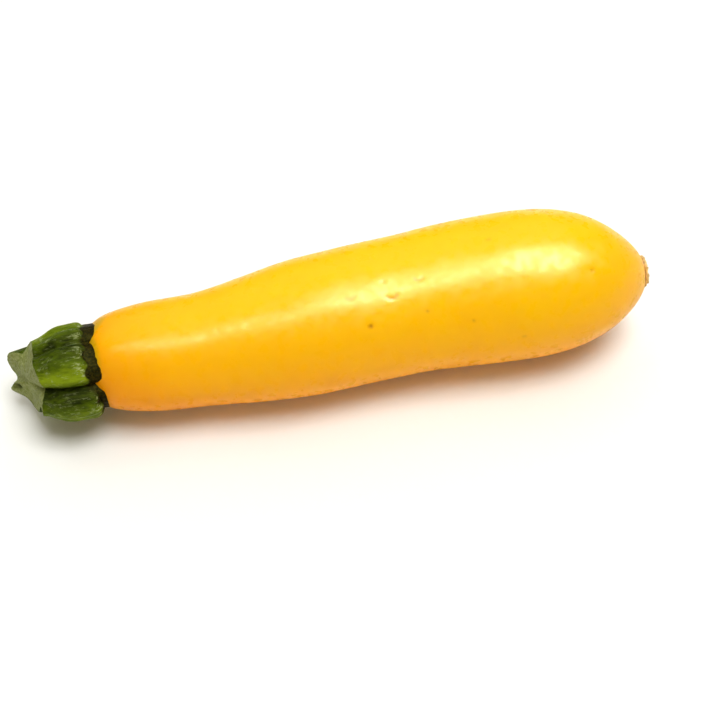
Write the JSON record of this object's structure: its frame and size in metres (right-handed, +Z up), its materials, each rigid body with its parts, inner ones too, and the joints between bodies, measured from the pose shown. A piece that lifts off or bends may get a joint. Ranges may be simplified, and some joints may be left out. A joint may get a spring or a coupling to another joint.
{
  "type": "yellow zucchini",
  "caption": "Long yellow zucchini lying on its belly, gently bowed and thicker towards the blossom end, with a ridged green stem cut on a slant and a corky blossom scar.",
  "frame": {"origin": "centre of the bounding box's bottom face, on the surface that the zucchini lies on", "axes": "+X runs from the stem to the blossom end, +Z up, +Y away from the viewer of its front side"},
  "size_m": [0.209, 0.049, 0.048],
  "materials": {
    "skin": "waxy glossy yellow rind",
    "stem": "satin green, finely ribbed and bristly, fibrous where cut",
    "scar": "dry matt tan cork"
  },
  "bodies": {
    "root": {"fruit": "skin", "stem": "stem", "blossom_scar": "scar"}
  },
  "joints": []
}
